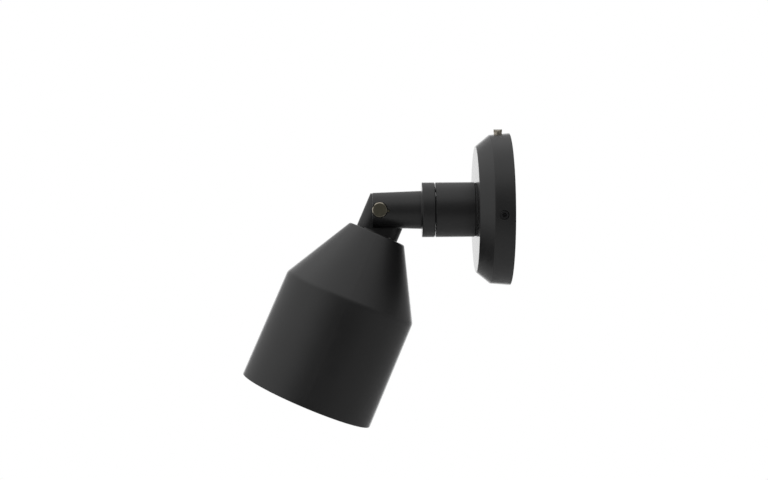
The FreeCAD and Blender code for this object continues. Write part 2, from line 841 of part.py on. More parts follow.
def make_tilt_spring_washer():
    """Split spring washer under the nut that keeps the tilt joint stiff."""
    hole, rim = "pin_radius + screw_fit", "tilt_nut_flats / 2"
    body = washer("tilt_spring_washer", hole, rim, "-nut_face", "-(nut_seat + rub_gap)", "XZ_Plane")
    split = new_sketch(body, "XY_Plane", "split")
    inside, outside = "pin_radius * 0.5", "tilt_nut_flats"
    half = "tilt_spring_washer / 2"
    draw_polygon(split, [(inside, "-" + half), (outside, "-" + half), (outside, half), (inside, half)])
    cut_through(body, split, "pin_end * 3")
    body.setExpression("Placement", rule(SWIVEL_FRAME + " * " + PIN_ALONG_X))
    return body


def make_swivel_hardware():
    """Washer, disc spring and thin nut that clamp the spigot against the stem's web."""
    hole = "spigot_radius + screw_fit"
    flat = washer("swivel_washer", hole, "swivel_washer_radius", "-washer_far", "-washer_near")
    spring = turned(
        "swivel_disc_spring",
        [
            (hole, "-spring_near"),
            (hole, "-spring_near - disc_spring_thick"),
            ("swivel_washer_radius", "-washer_near"),
            ("swivel_washer_radius", "-washer_near + disc_spring_thick"),
        ],
    )
    nut_start, nut_thick = "swivel_nut_near", "swivel_nut_thick"
    nut = hex_nut("swivel_nut", "swivel_nut_flats", "spigot_radius", "XZ_Plane", nut_start, nut_thick)
    for piece in (flat, spring, nut):
        in_swivel_frame(piece)


# ---------------------------------------------------------------- tilts on the pin


def draw_tongue(sketch):
    """Outline of the tongue in the pin's frame: straight left side up to a corner, round tip
    about the pin, slanting back to a rounded heel on the wall's side."""
    tip, left = size("tongue_tip_radius"), size("tongue_left")
    right, heel, bend = size("neck_right"), size("tongue_heel"), size("tongue_heel_round")
    foot = size("plate_drop")
    up = FreeCAD.Vector(0, 0, 1)
    heel_centre = FreeCAD.Vector(right - bend, -heel, 0)
    run = heel_centre.Length
    lean = math.acos((tip - bend) / run) + math.atan2(heel_centre.y, heel_centre.x)
    out = FreeCAD.Vector(math.cos(lean), math.sin(lean), 0)
    left_top = FreeCAD.Vector(-left, size("tongue_corner"), 0)
    turn_in = math.acos(tip / left_top.Length)
    crown_end = math.atan2(left_top.y, left_top.x) - turn_in
    crown_top = FreeCAD.Vector(math.cos(crown_end), math.sin(crown_end), 0) * tip
    spots = [FreeCAD.Vector(*spot) for spot in ((-left, -foot), (right, -foot), (right, -heel))]
    base = sketch.addGeometry(Part.LineSegment(spots[0], spots[1]), False)
    side = sketch.addGeometry(Part.LineSegment(spots[1], spots[2]), False)
    heel_arc = sketch.addGeometry(Part.ArcOfCircle(Part.Circle(heel_centre, up, bend), 0, lean), False)
    slant = sketch.addGeometry(Part.LineSegment(heel_centre + out * bend, out * tip), False)
    tip_circle = Part.Circle(FreeCAD.Vector(0, 0, 0), up, tip)
    tip_arc = sketch.addGeometry(Part.ArcOfCircle(tip_circle, lean, crown_end), False)
    crown = sketch.addGeometry(Part.LineSegment(crown_top, left_top), False)
    flank = sketch.addGeometry(Part.LineSegment(left_top, spots[0]), False)
    sketch.addConstraint(Sketcher.Constraint("Coincident", base, 2, side, 1))
    sketch.addConstraint(Sketcher.Constraint("Tangent", side, 2, heel_arc, 1))
    sketch.addConstraint(Sketcher.Constraint("Tangent", heel_arc, 2, slant, 1))
    sketch.addConstraint(Sketcher.Constraint("Tangent", slant, 2, tip_arc, 1))
    sketch.addConstraint(Sketcher.Constraint("Tangent", tip_arc, 2, crown, 1))
    sketch.addConstraint(Sketcher.Constraint("Coincident", crown, 2, flank, 1))
    sketch.addConstraint(Sketcher.Constraint("Coincident", flank, 2, base, 1))
    sketch.addConstraint(Sketcher.Constraint("Coincident", tip_arc, 3, -1, 1))
    sketch.addConstraint(Sketcher.Constraint("Vertical", side))
    sketch.addConstraint(Sketcher.Constraint("Vertical", flank))
    bind(sketch, Sketcher.Constraint("Radius", tip_arc, tip), "tongue_tip_radius")
    bind(sketch, Sketcher.Constraint("Radius", heel_arc, bend), "tongue_heel_round")
    place_point(sketch, base, 1, "-tongue_left", "-plate_drop")
    place_point(sketch, base, 2, "neck_right", "-plate_drop")
    bind(sketch, Sketcher.Constraint("DistanceY", -1, 1, heel_arc, 3, -heel), "-tongue_heel")
    corner = Sketcher.Constraint("DistanceY", -1, 1, flank, 1, left_top.y)
    bind(sketch, corner, "tongue_corner")


def make_neck():
    """The lamp's neck: round-edged tongue on a round foot with a threaded tail below."""
    body = new_body("lamp_neck")
    outline = new_sketch(body, "YZ_Plane", "tongue", "-tongue_near")
    draw_tongue(outline)
    extrude(body, outline, "tongue_thick", back=True)
    round_tongue(body, -size("tongue_near"), "tongue_near_round")
    round_tongue(body, -size("tongue_far"), "tongue_far_round")
    foot = new_sketch(body, "XY_Plane", "foot", "-plate_drop")
    draw_circle(foot, 0, "pivot_offset", "neck_foot_radius")
    extrude(body, foot, "neck_foot")
    tail = new_sketch(body, "XY_Plane", "tail", "-neck_end")
    draw_circle(tail, 0, "pivot_offset", "neck_thread_radius")
    extrude(body, tail, "neck_thread_length")
    pin_bore = new_sketch(body, "YZ_Plane", "pin_bore")
    draw_circle(pin_bore, 0, 0, "pin_radius + running_fit")
    cut_through(body, pin_bore, "tongue_far * 3")
    seat = new_sketch(body, "YZ_Plane", "nut_seat", "-nut_seat")
    draw_circle(seat, 0, 0, "nut_seat_radius")
    cut_through(body, seat, "tongue_thick", middle=False)
    lead_way = new_sketch(body, "XY_Plane", "lead_way", "-nipple_top")
    draw_circle(lead_way, "-lead_way_side", "pivot_offset + lead_way_offset", "lead_way_radius")
    cut_through(body, lead_way, "nipple_top + tongue_tip_radius + 1", middle=False, back=True)
    nipple_bore = new_sketch(body, "XY_Plane", "nipple_bore", "-neck_end")
    draw_circle(nipple_bore, 0, "pivot_offset", "nipple_radius")
    cut_through(body, nipple_bore, "nipple_seat + lead_chamber", middle=False, back=True)
    return in_tilt_frame(body)


def round_tongue(body, face, radius):
    """Rounds the edges of the tongue's face at x = face, except along its base."""
    above = -size("plate_drop") + 0.1
    soften(
        body,
        lambda edge: abs(edge.BoundBox.XMax - face) < 0.01
        and abs(edge.BoundBox.XMin - face) < 0.01
        and edge.BoundBox.ZMax > above,
        radius,
    )


def make_tilt_washer():
    """Friction washer between the arm's lap face and the tongue."""
    hole, inner_face = "pin_radius + screw_fit", "tilt_washer_thick - tongue_near"
    body = washer("tilt_washer", hole, "tilt_washer_radius", "-tongue_near", inner_face, "XZ_Plane")
    turn = "placement(vector(0; 0; 0); rotation(vector(0; 1; 0); 90))"
    body.setExpression("Placement", rule(SWIVEL_FRAME + " * " + TILT_FRAME + " * " + turn))
    return body


def make_shade():
    """Spun shade: flat crown, straight cone and a barely flared cylinder, open below."""
    cone_run, cone_fall = "(cone_radius - shade_top_radius)", "(cone_drop - plate_drop)"
    cone_length = "sqrt(%s ^ 2 + %s ^ 2)" % (cone_run, cone_fall)
    # the inner skin is the outer one moved in by the wall, square to each stretch
    top_in = "shade_top_radius + shade_wall * (%s - %s) / %s" % (cone_run, cone_length, cone_fall)
    bend_in = "-cone_drop - shade_wall * (%s - %s) / %s" % (cone_length, cone_fall, cone_run)
    body = turned(
        "shade",
        [
            ("neck_thread_radius + screw_fit", "-plate_drop"),
            ("shade_top_radius", "-plate_drop"),
            ("cone_radius", "-cone_drop"),
            ("rim_radius", "-rim_drop"),
            ("rim_radius - shade_wall", "-rim_drop"),
            ("cone_radius - shade_wall", bend_in),
            (top_in, "-plate_drop - shade_wall"),
            ("neck_thread_radius + screw_fit", "-plate_drop - shade_wall"),
        ],
        "XZ_Plane",
    )
    crown, bend = size("shade_top_radius"), size("cone_radius")
    soften(body, lambda edge: is_ring(edge, crown, -size("plate_drop"), "z"), "shade_top_round")
    soften(body, lambda edge: is_ring(edge, bend, -size("cone_drop"), "z"), "cone_round")
    soften(
        body,
        lambda edge: edge.BoundBox.ZMax < -size("rim_drop") + 0.01 and edge.isClosed(),
        "shade_wall * 0.35",
    )
    return in_lamp_frame(body)


def make_shade_fixings():
    """Washer and nut under the crown, and the hollow nipple that carries the lampholder."""
    hole, low = "neck_thread_radius + screw_fit", "-washer_drop - shade_washer_thick"
    ring = washer("shade_washer", hole, "shade_washer_radius", "-washer_drop", low, "XZ_Plane")
    start, flats = "-nut_drop - shade_nut_thick", "shade_nut_flats"
    nut = hex_nut("shade_nut", flats, "neck_thread_radius", "XY_Plane", start, "shade_nut_thick")
    end = "-nipple_top - nipple_length"
    tube = washer("holder_nipple", "nipple_bore_radius", "nipple_radius", "-nipple_top", end, "XZ_Plane")
    for piece in (ring, nut, tube):
        in_lamp_frame(piece)


def make_lampholder():
    """Screw lampholder: domed cap on the nipple, skirt, ceramic insert and two contacts."""
    cap = turned(
        "holder_cap",
        [
            ("nipple_radius", "-cap_top"),
            ("nipple_radius + holder_wall * 1.5", "-cap_top"),
            ("nipple_radius + holder_wall * 1.5", "-cap_top - 4"),
            ("holder_cap_radius - 3", "-cap_top - 6"),
            ("holder_cap_radius", "-cap_top - 9"),
            ("holder_cap_radius", "-cap_bottom"),
            ("holder_cap_radius - holder_wall", "-cap_bottom"),
            ("holder_cap_radius - holder_wall", "-cap_top - 10"),
            ("holder_cap_radius - holder_wall - 2.5", "-cap_top - 8"),
            ("nipple_radius", "-cap_top - 6.5"),
        ],
        "XZ_Plane",
    )
    skirt = turned(
        "holder_skirt",
        [
            ("holder_cap_radius + screw_fit", "-cap_bottom + 7"),
            ("holder_radius", "-cap_bottom + 7"),
            ("holder_radius", "-holder_bottom + 1.5"),
            ("holder_radius - 0.8", "-holder_bottom"),
            ("lamp_cap_radius + 2", "-holder_bottom"),
            ("lamp_cap_radius + 2", "-insert_bottom"),
            ("holder_cap_radius + screw_fit", "-insert_bottom"),
        ],
        "XZ_Plane",
    )
    insert = turned(
        "holder_insert",
        [
            (0, "-cap_bottom"),
            ("nipple_radius", "-cap_bottom"),
            ("nipple_radius + 3", "-cap_bottom + 3"),
            ("holder_cap_radius - holder_wall - screw_fit", "-cap_bottom + 3"),
            ("holder_cap_radius - holder_wall - screw_fit", "-cap_bottom"),
            ("holder_cap_radius", "-cap_bottom"),
            ("holder_cap_radius", "-insert_bottom"),
            (0, "-insert_bottom"),
        ],
        "XZ_Plane",
    )
    shell = washer(
        "holder_thread_shell",
        "lamp_cap_radius + lamp_cap_gap",
        "lamp_cap_radius + lamp_cap_gap + shell_wall",
        "-insert_bottom",
        "-insert_bottom - shell_length",
        "XZ_Plane",
    )
    contact = new_body("holder_centre_contact")
    strip = new_sketch(contact, "XZ_Plane", "strip")
    draw_polygon(
        strip,
        [
            ("-lamp_tip_radius", "-insert_bottom"),
            ("lamp_tip_radius", "-insert_bottom"),
            ("lamp_tip_radius", "-insert_bottom - 0.4"),
            ("-lamp_tip_radius * 0.2", "-insert_bottom - 0.4"),
            ("-lamp_tip_radius * 0.5", "-tip_drop"),
            ("-lamp_tip_radius * 0.8", "-tip_drop"),
            ("-lamp_tip_radius * 0.5", "-insert_bottom - 0.4"),
            ("-lamp_tip_radius", "-insert_bottom - 0.4"),
        ],
    )
    extrude(contact, strip, "lamp_tip_radius", middle=True)
    for piece in (cap, skirt, insert, shell, contact):
        in_lamp_frame(piece)


def make_reflector_lamp():
    """The lamp itself: contact tip, screw cap, hollow flared body and frosted front."""
    waist, shoulder = "lamp_neck_radius + 1.5", "lamp_head_radius - 3"
    tip = turned(
        "lamp_contact_tip",
        [
            (0, "-tip_drop"),
            ("lamp_tip_radius", "-tip_drop - 0.4"),
            ("lamp_tip_radius", "-lamp_cap_top + 0.6"),
            ("lamp_cap_radius - 3", "-lamp_cap_top"),
            (0, "-lamp_cap_top"),
        ],
        "XZ_Plane",
    )
    cap = turned(
        "lamp_screw_cap",
        [
            (0, "-lamp_cap_top"),
            ("lamp_cap_radius - 3", "-lamp_cap_top"),
            ("lamp_cap_radius", "-lamp_cap_top - 3"),
            ("lamp_cap_radius", "-lamp_cap_bottom"),
            ("lamp_cap_radius - lamp_shell", "-lamp_cap_bottom"),
            ("lamp_cap_radius - lamp_shell", "-lamp_cap_top - 3 - lamp_shell * 0.4"),
            ("lamp_cap_radius - 3 - lamp_shell * 0.4", "-lamp_cap_top - lamp_shell"),
            (0, "-lamp_cap_top - lamp_shell"),
        ],
        "XZ_Plane",
    )
    body = turned(
        "lamp_flared_body",
        [
            ("lamp_neck_radius - lamp_shell", "-lamp_cap_bottom"),
            ("lamp_neck_radius", "-lamp_cap_bottom"),
            (waist, "-flare_waist"),
            (shoulder, "-flare_shoulder"),
            ("lamp_head_radius", "-flare_bottom"),
            ("lamp_head_radius", "-lens_edge"),
            ("lamp_head_radius - lamp_shell", "-lens_edge"),
            ("lamp_head_radius - lamp_shell", "-flare_bottom"),
            (shoulder + " - lamp_shell", "-flare_shoulder - lamp_shell / 2"),
            (waist + " - lamp_shell", "-flare_waist - lamp_shell / 2"),
        ],
        "XZ_Plane",
    )
    soften(
        body,
        lambda edge: is_ring(edge, number(waist), -size("flare_waist"), "z")
        or is_ring(edge, number(shoulder), -size("flare_shoulder"), "z"),
        "lamp_lens_rise",
    )
    lens = new_body("lamp_front_lens")
    section = new_sketch(lens, "XZ_Plane", "section")
    draw_dome(section, "lamp_head_radius - lamp_shell", "-lens_back", "-lens_edge", "lamp_lens_rise")
    revolve(lens, section)
    for piece in (tip, cap, body, lens):
        in_lamp_frame(piece)


def draw_dome(sketch, radius, back, edge, rise):
    """Half section of a disc whose front swells by rise, about the sketch's vertical axis."""
    reach, high, low, swell = number(radius), number(back), number(edge), number(rise)
    bend = (reach**2 + swell**2) / (2 * swell)
    centre = FreeCAD.Vector(0, low - swell + bend, 0)
    spots = [FreeCAD.Vector(0, high, 0), FreeCAD.Vector(reach, high, 0), FreeCAD.Vector(reach, low, 0)]
    bottom = FreeCAD.Vector(0, low - swell, 0)
    top = sketch.addGeometry(Part.LineSegment(spots[0], spots[1]), False)
    side = sketch.addGeometry(Part.LineSegment(spots[1], spots[2]), False)
    start = math.atan2(low - centre.y, reach)
    circle = Part.Circle(centre, FreeCAD.Vector(0, 0, 1), bend)
    front = sketch.addGeometry(Part.ArcOfCircle(circle, -math.pi / 2, start), False)
    axis = sketch.addGeometry(Part.LineSegment(bottom, spots[0]), False)
    sketch.addConstraint(Sketcher.Constraint("Coincident", top, 2, side, 1))
    sketch.addConstraint(Sketcher.Constraint("Coincident", side, 2, front, 2))
    sketch.addConstraint(Sketcher.Constraint("Coincident", front, 1, axis, 1))
    sketch.addConstraint(Sketcher.Constraint("Coincident", axis, 2, top, 1))
    sketch.addConstraint(Sketcher.Constraint("PointOnObject", front, 3, -2))
    place_point(sketch, top, 1, 0, back)
    place_point(sketch, top, 2, radius, back)
    place_point(sketch, side, 2, radius, edge)
    place_point(sketch, front, 1, 0, "%s - %s" % (edge, rise))


# ---------------------------------------------------------------- leads


def lead_tube(points, radius, bend):
    """A round lead along straight runs joined by tangent arcs."""
    spots = [FreeCAD.Vector(*point) for point in points]
    edges = []
    start = spots[0]
    for before, corner, after in zip(spots, spots[1:], spots[2:]):
        inward = (before - corner).normalize()
        outward = (after - corner).normalize()
        turn = math.pi - inward.getAngle(outward)
        trim = bend * math.tan(turn / 2)
        first, last = corner + inward * trim, corner + outward * trim
        middle = (inward + outward).normalize()
        peak = corner + middle * (bend / math.cos(turn / 2) - bend)
        edges.append(Part.LineSegment(start, first).toShape())
        edges.append(Part.Arc(first, peak, last).toShape())
        start = last
    edges.append(Part.LineSegment(start, spots[-1]).toShape())
    path = Part.Wire(edges)
    profile = Part.Wire(Part.makeCircle(radius, spots[0], spots[1] - spots[0]))
    return path.makePipeShell([profile], True, True)


def make_leads(label, routes, radius="lead_radius", frame=None):
    piece = doc.addObject("Part::Feature", label)
    piece.Label = label
    thick, bend = size(radius), size("lead_bend")
    piece.Shape = Part.makeCompound([lead_tube(route, thick, bend) for route in routes])
    if frame:
        piece.setExpression("Placement", rule(frame))
    pieces.append(piece)
    return piece


def make_wall_leads():
    """Two leads from the terminal block into the stem, and the earth lead to its screw."""
    side, spread, reach = -size("lead_side"), size("lead_spread"), size("lead_reach")
    pitch, bend = size("block_pitch"), size("lead_bend")
    block_top = -size("block_drop") + size("block_height") / 2 - size("block_height") / 8
    join = -size("spigot_end") + 4
    outer = [
        (-pitch, -reach, block_top),
        (-pitch, -reach, spread),
        (side, -reach, spread),
        (side, join, spread),
    ]
    inner = [
        (0, -reach, block_top),
        (0, -reach, block_top + bend * 3),
        (side, -reach, block_top + bend * 5),
        (side, -reach, -spread),
        (side, join, -spread),
    ]
    make_leads("rose_leads", [outer, inner])
    screw, drop = size("earth_side"), -size("earth_drop")
    head = -size("plate_thick") - size("earth_washer") - size("earth_screw_head") - size("rub_gap")
    lift = -reach - 4
    earth = [(pitch, -reach, block_top), (pitch, -reach, drop), (screw, lift, drop), (screw, head, drop)]
    make_leads("earth_lead", [earth])


def make_arm_leads():
    """The two leads through the arm's bore, straight from the stem to the lap shoulder."""
    start = -size("spigot_end") + 4 - size("lead_gap")
    end = -size("lap_shoulder") + size("lead_gap")
    side, spread = -size("lead_side"), size("lead_spread")
    routes = [[(side, start, up), (side, end, up)] for up in (-spread, spread)]
    make_leads("arm_leads", routes, "lead_radius", SWIVEL_FRAME)


def make_lamp_leads():
    """The two leads down the tongue, through the chamber above the nipple into the holder."""
    side, along = -size("lead_way_side"), size("lead_way_offset")
    chamber = -size("nipple_top") + size("lead_chamber")
    top, bottom = size("tongue_tip_radius") * 0.6, -size("cap_bottom") + size("lead_gap")
    routes = []
    for sign in (-1, 1):
        shift = sign * size("lamp_lead_spread")
        corner = (side, along + shift, chamber)
        inside = (-size("lamp_lead_side"), shift, -size("nipple_top"))
        routes.append([(side, along + shift, top), corner, inside, (inside[0], shift, bottom)])
    frame = SWIVEL_FRAME + " * " + TILT_FRAME + " * " + LAMP_AXIS
    make_leads("lamp_leads", routes, "lamp_lead_radius", frame)


def make_stem_fixings():
    """Gasket outside the rose's face and lock washer inside it, both round the stem's thread."""
    hole, inside = "stem_thread_radius + screw_fit", "-rose_depth + rose_wall"
    washer("stem_gasket", hole, "stem_radius - gasket_inset", "-rose_depth", "-stem_start")
    washer("stem_lock_washer", hole, "ring_nut_radius - 0.5", inside, inside + " + lock_washer_thick")


def make_all():
    make_rose()
    make_wall_plate()
    make_stem()
    make_stem_fixings()
    make_ring_nut()
    make_stop_pin()
    make_rim_screw("rim_screw_near", 1)
    make_rim_screw("rim_screw_far", -1)
    make_top_screw()
    make_terminal_block()
    make_terminal_screws()
    make_earth_screw()
    make_wall_leads()
    make_arm()
    make_tilt_pin()
    make_tilt_nut()
    make_tilt_spring_washer()
    make_swivel_hardware()
    make_arm_leads()
    make_neck()
    make_tilt_washer()
    make_shade()
    make_shade_fixings()
    make_lampholder()
    make_reflector_lamp()
    make_lamp_leads()


def write_pieces():
    """Every object has to be sound before any file is written."""
    doc.recompute()
    faults = [item.Label for item in doc.Objects if {"Invalid", "Error"} & set(item.State)]
    for piece in pieces:
        if piece.Shape.isNull() or not piece.Shape.isValid() or not piece.Shape.Solids:
            faults.append(piece.Label)
    if faults:
        raise RuntimeError("faulty: " + ", ".join(faults))
    os.makedirs("parts", exist_ok=True)
    for piece in pieces:
        piece.Shape.exportStep("parts/" + piece.Label + ".step")
        print(piece.Label, len(piece.Shape.Solids), round(piece.Shape.Volume, 1))


make_all()
write_pieces()
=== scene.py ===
import math

import bpy
from bpy.props import FloatProperty, FloatVectorProperty, IntProperty, PointerProperty
from mathutils import Matrix, Vector


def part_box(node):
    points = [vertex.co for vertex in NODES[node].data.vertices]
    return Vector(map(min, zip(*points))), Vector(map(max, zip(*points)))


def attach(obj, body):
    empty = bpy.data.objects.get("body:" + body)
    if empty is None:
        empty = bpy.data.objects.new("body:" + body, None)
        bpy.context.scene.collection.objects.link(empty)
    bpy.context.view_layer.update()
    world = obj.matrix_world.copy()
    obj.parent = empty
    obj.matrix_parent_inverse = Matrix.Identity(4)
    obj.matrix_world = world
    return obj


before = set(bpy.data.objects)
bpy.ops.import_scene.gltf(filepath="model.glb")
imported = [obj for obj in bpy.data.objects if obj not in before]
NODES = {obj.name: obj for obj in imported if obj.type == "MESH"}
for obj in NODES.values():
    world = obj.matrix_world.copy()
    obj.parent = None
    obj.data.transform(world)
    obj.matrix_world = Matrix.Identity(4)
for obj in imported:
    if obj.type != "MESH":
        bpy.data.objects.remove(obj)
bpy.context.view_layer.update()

bl_info = {
    "name": "Pivoting Spotlight Wall Light",
    "version": (1, 0, 0),
    "blender": (4, 5, 0),
    "location": "View3D > Sidebar > Wall Light",
    "description": "Finishes, small pieces and studio for a pivoting spotlight wall light",
    "category": "Object",
}

MM = 0.001
# The lamp head's turn about the arm at rest, and where the pivot pin's line crosses the arm.
HEAD_TURN = math.radians(5.2)
PIN_MIDDLE = (0.0, -94.2 * MM, 0.0)
# Radii on the pin's head where the painted highlight on its chamfer starts, is fully bright, and
# ends.
HIGHLIGHT_START, HIGHLIGHT_FULL, HIGHLIGHT_END = 4.78 * MM, 4.92 * MM, 5.45 * MM
# From the top of the brass screw down to its ribs.
KNURL_INSET = 0.00045


# ---------------------------------------------------------------- shader maths


class Value:
    """A socket that can be used in a Python expression; each operator adds one Math node."""

    def __init__(self, shader, socket):
        self.shader = shader
        self.socket = socket

    def _math(self, operation, *values, clamp=False):
        settings = {"operation": operation, "use_clamp": clamp}
        node = self.shader.add("ShaderNodeMath", settings, values)
        return Value(self.shader, node.outputs[0])

    def __add__(self, other):
        return self._math("ADD", self, other)

    def __radd__(self, other):
        return self._math("ADD", other, self)

    def __sub__(self, other):
        return self._math("SUBTRACT", self, other)

    def __rsub__(self, other):
        return self._math("SUBTRACT", other, self)

    def __mul__(self, other):
        return self._math("MULTIPLY", self, other)

    def __rmul__(self, other):
        return self._math("MULTIPLY", other, self)

    def __truediv__(self, other):
        return self._math("DIVIDE", self, other)

    def __pow__(self, other):
        return self._math("POWER", self, other)

    def __gt__(self, other):
        return self._math("GREATER_THAN", self, other)

    def __lt__(self, other):
        return self._math("LESS_THAN", self, other)

    def sine(self):
        return self._math("SINE", self)

    def clamped(self):
        return self._math("ADD", self, 0.0, clamp=True)

    def between(self, low, high):
        """0 below low, 1 above high and straight in between."""
        return ((self - low) / (high - low)).clamped()

    def eased(self):
        """Rounds off both ends of a run from 0 to 1."""
        return self * self * (3.0 - self * 2.0)


class Shader:
    """One node tree under construction."""

    def __init__(self, owner):
        owner.use_nodes = True
        self.tree = owner.node_tree
        self.tree.nodes.clear()

    def add(self, kind, settings=None, values=()):
        """A node of this kind, its settings first, then its inputs by place or by name."""
        node = self.tree.nodes.new(kind)
        for name, setting in (settings or {}).items():
            setattr(node, name, setting)
        pairs = values.items() if isinstance(values, dict) else enumerate(values)
        for name, value in pairs:
            if isinstance(value, Value):
                value = value.socket
            if isinstance(value, bpy.types.NodeSocket):
                self.tree.links.new(value, node.inputs[name])
            elif value is not None:
                node.inputs[name].default_value = value
        return node

    def place(self):
        """Object coordinates."""
        return self.add("ShaderNodeTexCoord").outputs["Object"]

    def mapped(self, centre, turn=(0, 0, 0)):
        """Object coordinates measured from centre and then turned."""
        moved = self.add(
            "ShaderNodeVectorMath", {"operation": "SUBTRACT"}, (self.place(), tuple(centre))
        )
        inputs = {"Vector": moved.outputs[0], "Rotation": turn}
        return self.add("ShaderNodeMapping", {"vector_type": "POINT"}, inputs).outputs[0]

    def noise(self, scale, detail, rough):
        inputs = {"Vector": self.place(), "Scale": scale, "Detail": detail, "Roughness": rough}
        return Value(self, self.add("ShaderNodeTexNoise", None, inputs).outputs["Fac"])

    def cells(self, scale):
        inputs = {"Vector": self.place(), "Scale": scale}
        return Value(self, self.add("ShaderNodeTexVoronoi", None, inputs).outputs["Distance"])

    def glance(self):
        """0 where the surface is seen square on, 1 where it is seen edge on."""
        node = self.add("ShaderNodeLayerWeight", None, {"Blend": 0.5})
        return Value(self, node.outputs["Facing"])

    def parts(self, vector):
        node = self.add("ShaderNodeSeparateXYZ", None, (vector,))
        return [Value(self, output) for output in node.outputs]

    def blend(self, factor, low, high):
        """A colour between two colours."""
        settings = {"data_type": "RGBA"}
        node = self.add("ShaderNodeMix", settings, {0: factor, 6: low, 7: high})
        return node.outputs[2]

    def bump(self, height, strength, depth):
        inputs = {"Strength": strength, "Distance": depth, "Height": height}
        return self.add("ShaderNodeBump", None, inputs).outputs[0]

    def surface(self, **inputs):
        """The Principled surface, joined to the output."""
        named = {name.replace("_", " "): value for name, value in inputs.items()}
        shader = self.add("ShaderNodeBsdfPrincipled", None, named)
        self.add("ShaderNodeOutputMaterial", None, (shader.outputs[0],))


def rgba(colour, factor=1.0):
    return tuple(channel * factor for channel in colour) + (1.0,)


def new_material(name):
    return bpy.data.materials.new(name)


def dress(node, material):
    """Gives a CAD node this material alone."""
    slots = NODES[node].data.materials
    slots.clear()
    slots.append(material)


def middle(node):
    low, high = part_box(node)
    return (low + high) / 2


# ---------------------------------------------------------------- finishes


def powder_coat(name, colour, grain=1.0, gloss=0.42):
    """Satin black powder coat: fine orange peel, a soft cloudiness and a few dust specks."""
    material = new_material(name)
    shader = Shader(material)
    peel = shader.noise(1500.0, 2.0, 0.55)
    fine = shader.noise(5200.0, 1.0, 0.5)
    cloud = shader.noise(38.0, 4.0, 0.6)
    specks = shader.cells(900.0).between(0.10, 0.02)
    base = shader.blend(cloud.between(0.3, 0.75), rgba(colour, 0.86), rgba(colour, 1.16))
    dusty = shader.blend(specks * 0.35, base, rgba(colour, 2.6))
    height = peel * 0.75 + fine * 0.25
    shader.surface(
        Base_Color=dusty,
        Roughness=gloss + (cloud - 0.5) * 0.10 + (peel - 0.5) * 0.06,
        Normal=shader.bump(height, 0.10 * grain, 0.00012),
        IOR=1.5,
        Coat_Weight=shader.glance().between(0.78, 0.93),
        Coat_Roughness=0.12,
    )
    return material


def plated_steel(name, colour, centre, axis="Y"):
    """Zinc plated steel with the faint rings of turning or the grain of rolling."""
    material = new_material(name)
    shader = Shader(material)
    x, y, z = shader.parts(shader.mapped(centre))
    across = {"X": (y, z), "Y": (x, z), "Z": (x, y)}[axis]
    reach = (across[0] * across[0] + across[1] * across[1]) ** 0.5
    rings = (reach * 9000.0).sine() * 0.5 + 0.5
    cloud = shader.noise(160.0, 3.0, 0.6)
    base = shader.blend(cloud, rgba(colour, 0.82), rgba(colour, 1.12))
    shader.surface(
        Base_Color=base,
        Metallic=1.0,
        Roughness=0.3 + cloud * 0.16,
        Normal=shader.bump(rings * 0.4 + cloud * 0.6, 0.12, 0.0001),
    )
    return material


def dull_brass(name, colour, rough=0.34, stain=0.5):
    """Brass that has gone dull, darker in patches."""
    material = new_material(name)
    shader = Shader(material)
    patches = shader.noise(330.0, 4.0, 0.65)
    fine = shader.noise(2400.0, 2.0, 0.5)
    base = shader.blend((patches * stain * 1.4).clamped(), rgba(colour), rgba(colour, 0.62))
    shader.surface(
        Base_Color=base,
        Metallic=1.0,
        Roughness=rough + patches * 0.16,
        Normal=shader.bump(fine, 0.16, 0.00012),
    )
    return material


def darkened_pin(name, colour, highlight_tint):
    """Darkened brass, with a painted highlight in a pale colour on the chamfer round the edge of
    its head.
    """
    material = new_material(name)
    shader = Shader(material)
    _, y, z = shader.parts(shader.mapped(PIN_MIDDLE, (0, HEAD_TURN, 0)))
    reach = (y * y + z * z) ** 0.5
    patches = shader.noise(420.0, 4.0, 0.65)
    scratches = shader.noise(2600.0, 2.0, 0.5)
    # The chamfer ring gets a pale colour that stands in for its highlight: painted highlight, not
    # wear.
    ring = reach.between(HIGHLIGHT_START, HIGHLIGHT_FULL) * (reach < HIGHLIGHT_END)
    dull = shader.blend(patches, rgba(colour, 0.8), rgba(colour, 1.25))
    shader.surface(
        Base_Color=shader.blend(ring * (0.75 + patches * 0.25), dull, rgba(highlight_tint)),
        Metallic=1.0,
        Roughness=0.36 - ring * 0.1 + patches * 0.12,
        Normal=shader.bump(scratches, 0.14, 0.0001),
    )
    return material


def black_oxide(name, colour):
    """Blackened steel with a slightly oily, uneven sheen."""
    material = new_material(name)
    shader = Shader(material)
    cloud = shader.noise(420.0, 4.0, 0.6)
    fine = shader.noise(3000.0, 2.0, 0.5)
    shader.surface(
        Base_Color=shader.blend(cloud, rgba(colour, 0.7), rgba(colour, 1.5)),
        Metallic=0.7,
        Roughness=0.3 + cloud * 0.2,
        Normal=shader.bump(fine, 0.2, 0.0001),
    )
    return material


def moulded(name, colour, rough=0.4, grain=900.0, depth=0.00012, coat=0.0):
    """Moulded plastic, rubber or glazed ceramic: a fine skin and a slight unevenness."""
    material = new_material(name)
    shader = Shader(material)
    skin = shader.noise(grain, 3.0, 0.6)
    cloud = shader.noise(60.0, 3.0, 0.5)
    shader.surface(
        Base_Color=shader.blend(cloud, rgba(colour, 0.93), rgba(colour, 1.05)),
        Roughness=rough + (skin - 0.5) * 0.12,
        Normal=shader.bump(skin, 0.25, depth),
        Coat_Weight=coat,
    )
    return material


def lead_sheath(name, colours, axis, centre):
    """Insulation of two leads side by side, told apart by the side of centre they lie on."""
    material = new_material(name)
    shader = Shader(material)
    place = shader.parts(shader.mapped(centre))["XYZ".index(axis)]
    skin = shader.noise(1800.0, 2.0, 0.5)
    shader.surface(
        Base_Color=shader.blend(place > 0.0, rgba(colours[0]), rgba(colours[1])),
        Roughness=0.42 + skin * 0.1,
        Normal=shader.bump(skin, 0.2, 0.00008),
    )
    return material


